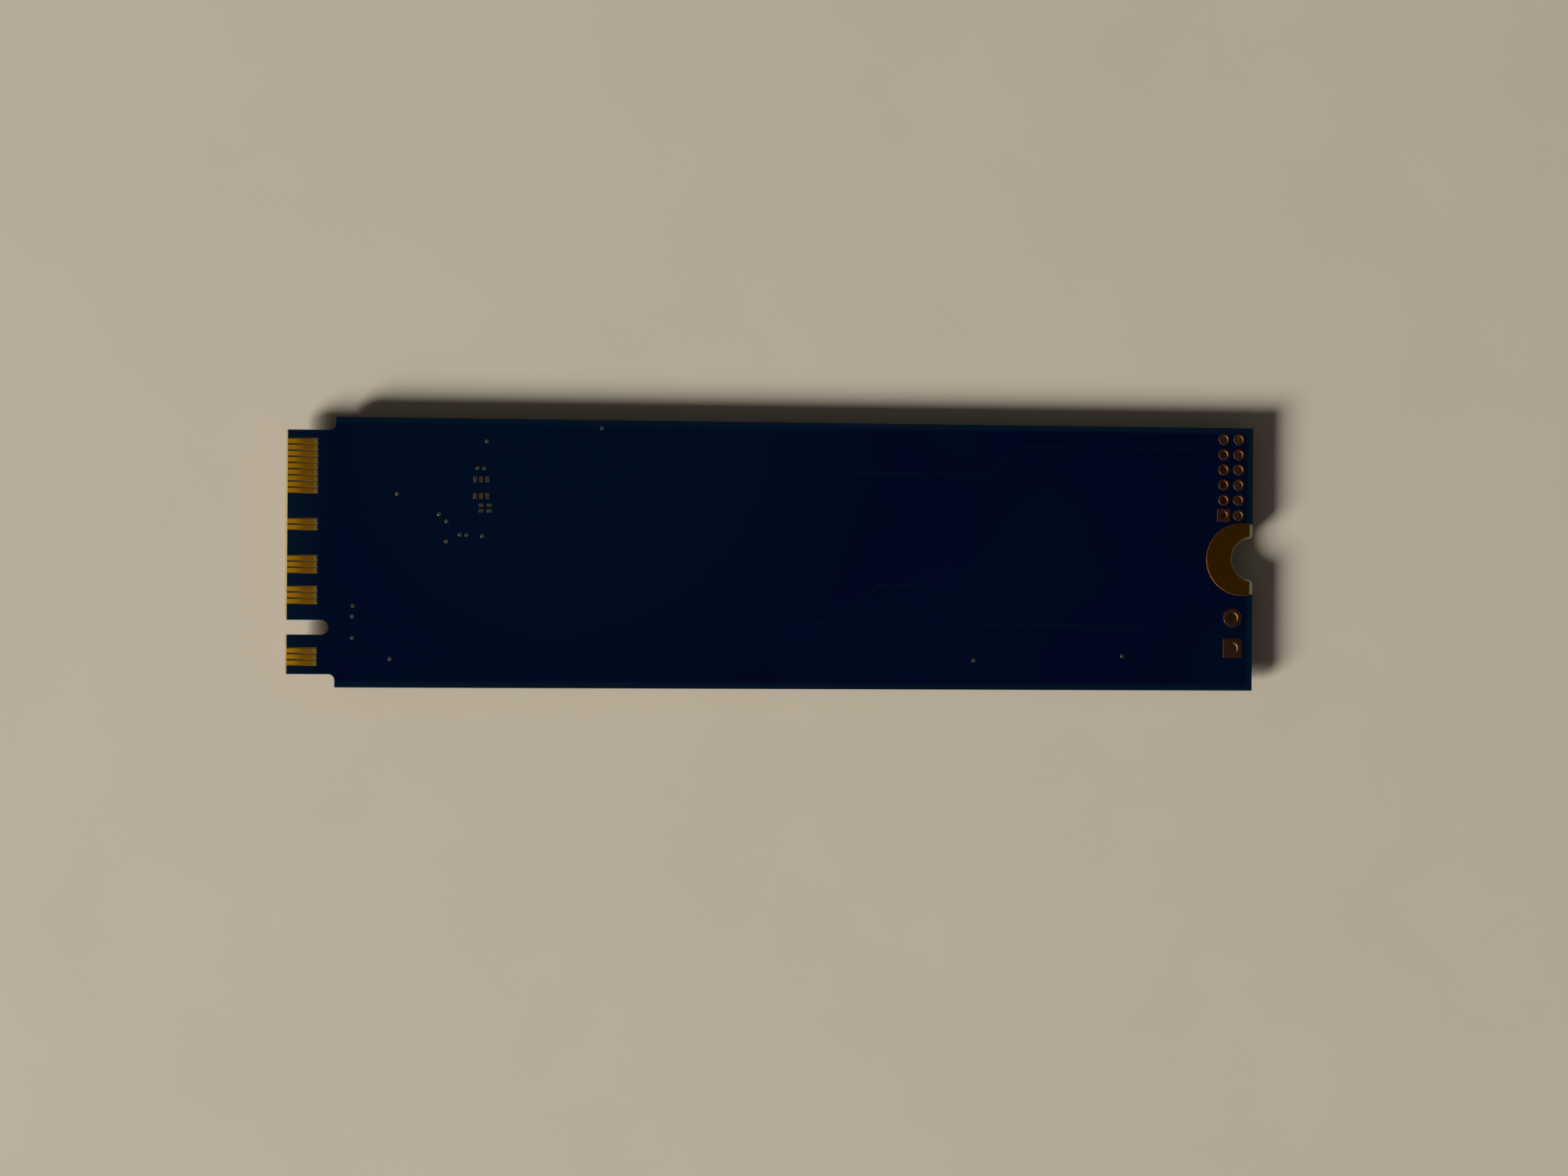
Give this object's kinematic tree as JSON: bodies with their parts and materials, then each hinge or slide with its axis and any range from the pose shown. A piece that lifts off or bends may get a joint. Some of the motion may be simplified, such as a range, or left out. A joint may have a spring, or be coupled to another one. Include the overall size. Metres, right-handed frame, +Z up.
{
  "type": "nvme solid-state drive card",
  "caption": "Bare plug-in solid-state drive card lying component side down, with an edge connector, key notch, half-round screw notch and chip packages under the board.",
  "frame": {"origin": "middle of the card's box, on the surface that the chip packages rest on", "axes": "+X from the plug-in tongue to the screw notch, +Y across the card away from the key notch, +Z up out of the bare back"},
  "size_m": [0.08, 0.022, 0.002],
  "materials": {
    "board_mask": "dark blue solder mask over glass laminate, semi-gloss",
    "gold": "thin gold over nickel and copper, satin",
    "hole_plating": "thin gold over copper, warmer, satin",
    "moulding": "black epoxy moulding, fine matt grain",
    "substrate": "dark green package laminate",
    "solder": "bright tin solder",
    "tin": "matt tin plating",
    "capacitor_ceramic": "fired brown ceramic",
    "resistor_ceramic": "black glaze over ceramic",
    "inductor_core": "pressed iron powder, grey and grainy",
    "crystal_ceramic": "dark fired ceramic",
    "crystal_cover": "thin plated metal cover"
  },
  "bodies": {
    "root": {"board": "board_mask", "contacts_back": "gold", "contacts_front": "gold", "screw_pad_back": "gold", "screw_pad_front": "gold", "header_holes": "hole_plating", "jumper_holes": "hole_plating", "test_pads": "hole_plating", "spare_pads": "hole_plating", "controller_moulding": "moulding", "controller_substrate": "substrate", "controller_balls": "solder", "nand_1_moulding": "moulding", "nand_1_substrate": "substrate", "nand_1_balls": "solder", "nand_2_moulding": "moulding", "nand_2_substrate": "substrate", "nand_2_balls": "solder", "power_chip": "moulding", "power_chip_lands": "tin", "load_switch": "moulding", "load_switch_lands": "tin", "inductor_1": "inductor_core", "inductor_2": "inductor_core", "inductor_3": "inductor_core", "inductor_terminals": "tin", "bulk_capacitors": "capacitor_ceramic", "bulk_capacitor_ends": "tin", "coupling_capacitors": "capacitor_ceramic", "coupling_capacitor_ends": "tin", "decoupling_capacitors": "capacitor_ceramic", "decoupling_capacitor_ends": "tin", "resistors": "resistor_ceramic", "resistor_ends": "tin", "crystal_base": "crystal_ceramic", "crystal_lid": "crystal_cover"}
  },
  "joints": []
}
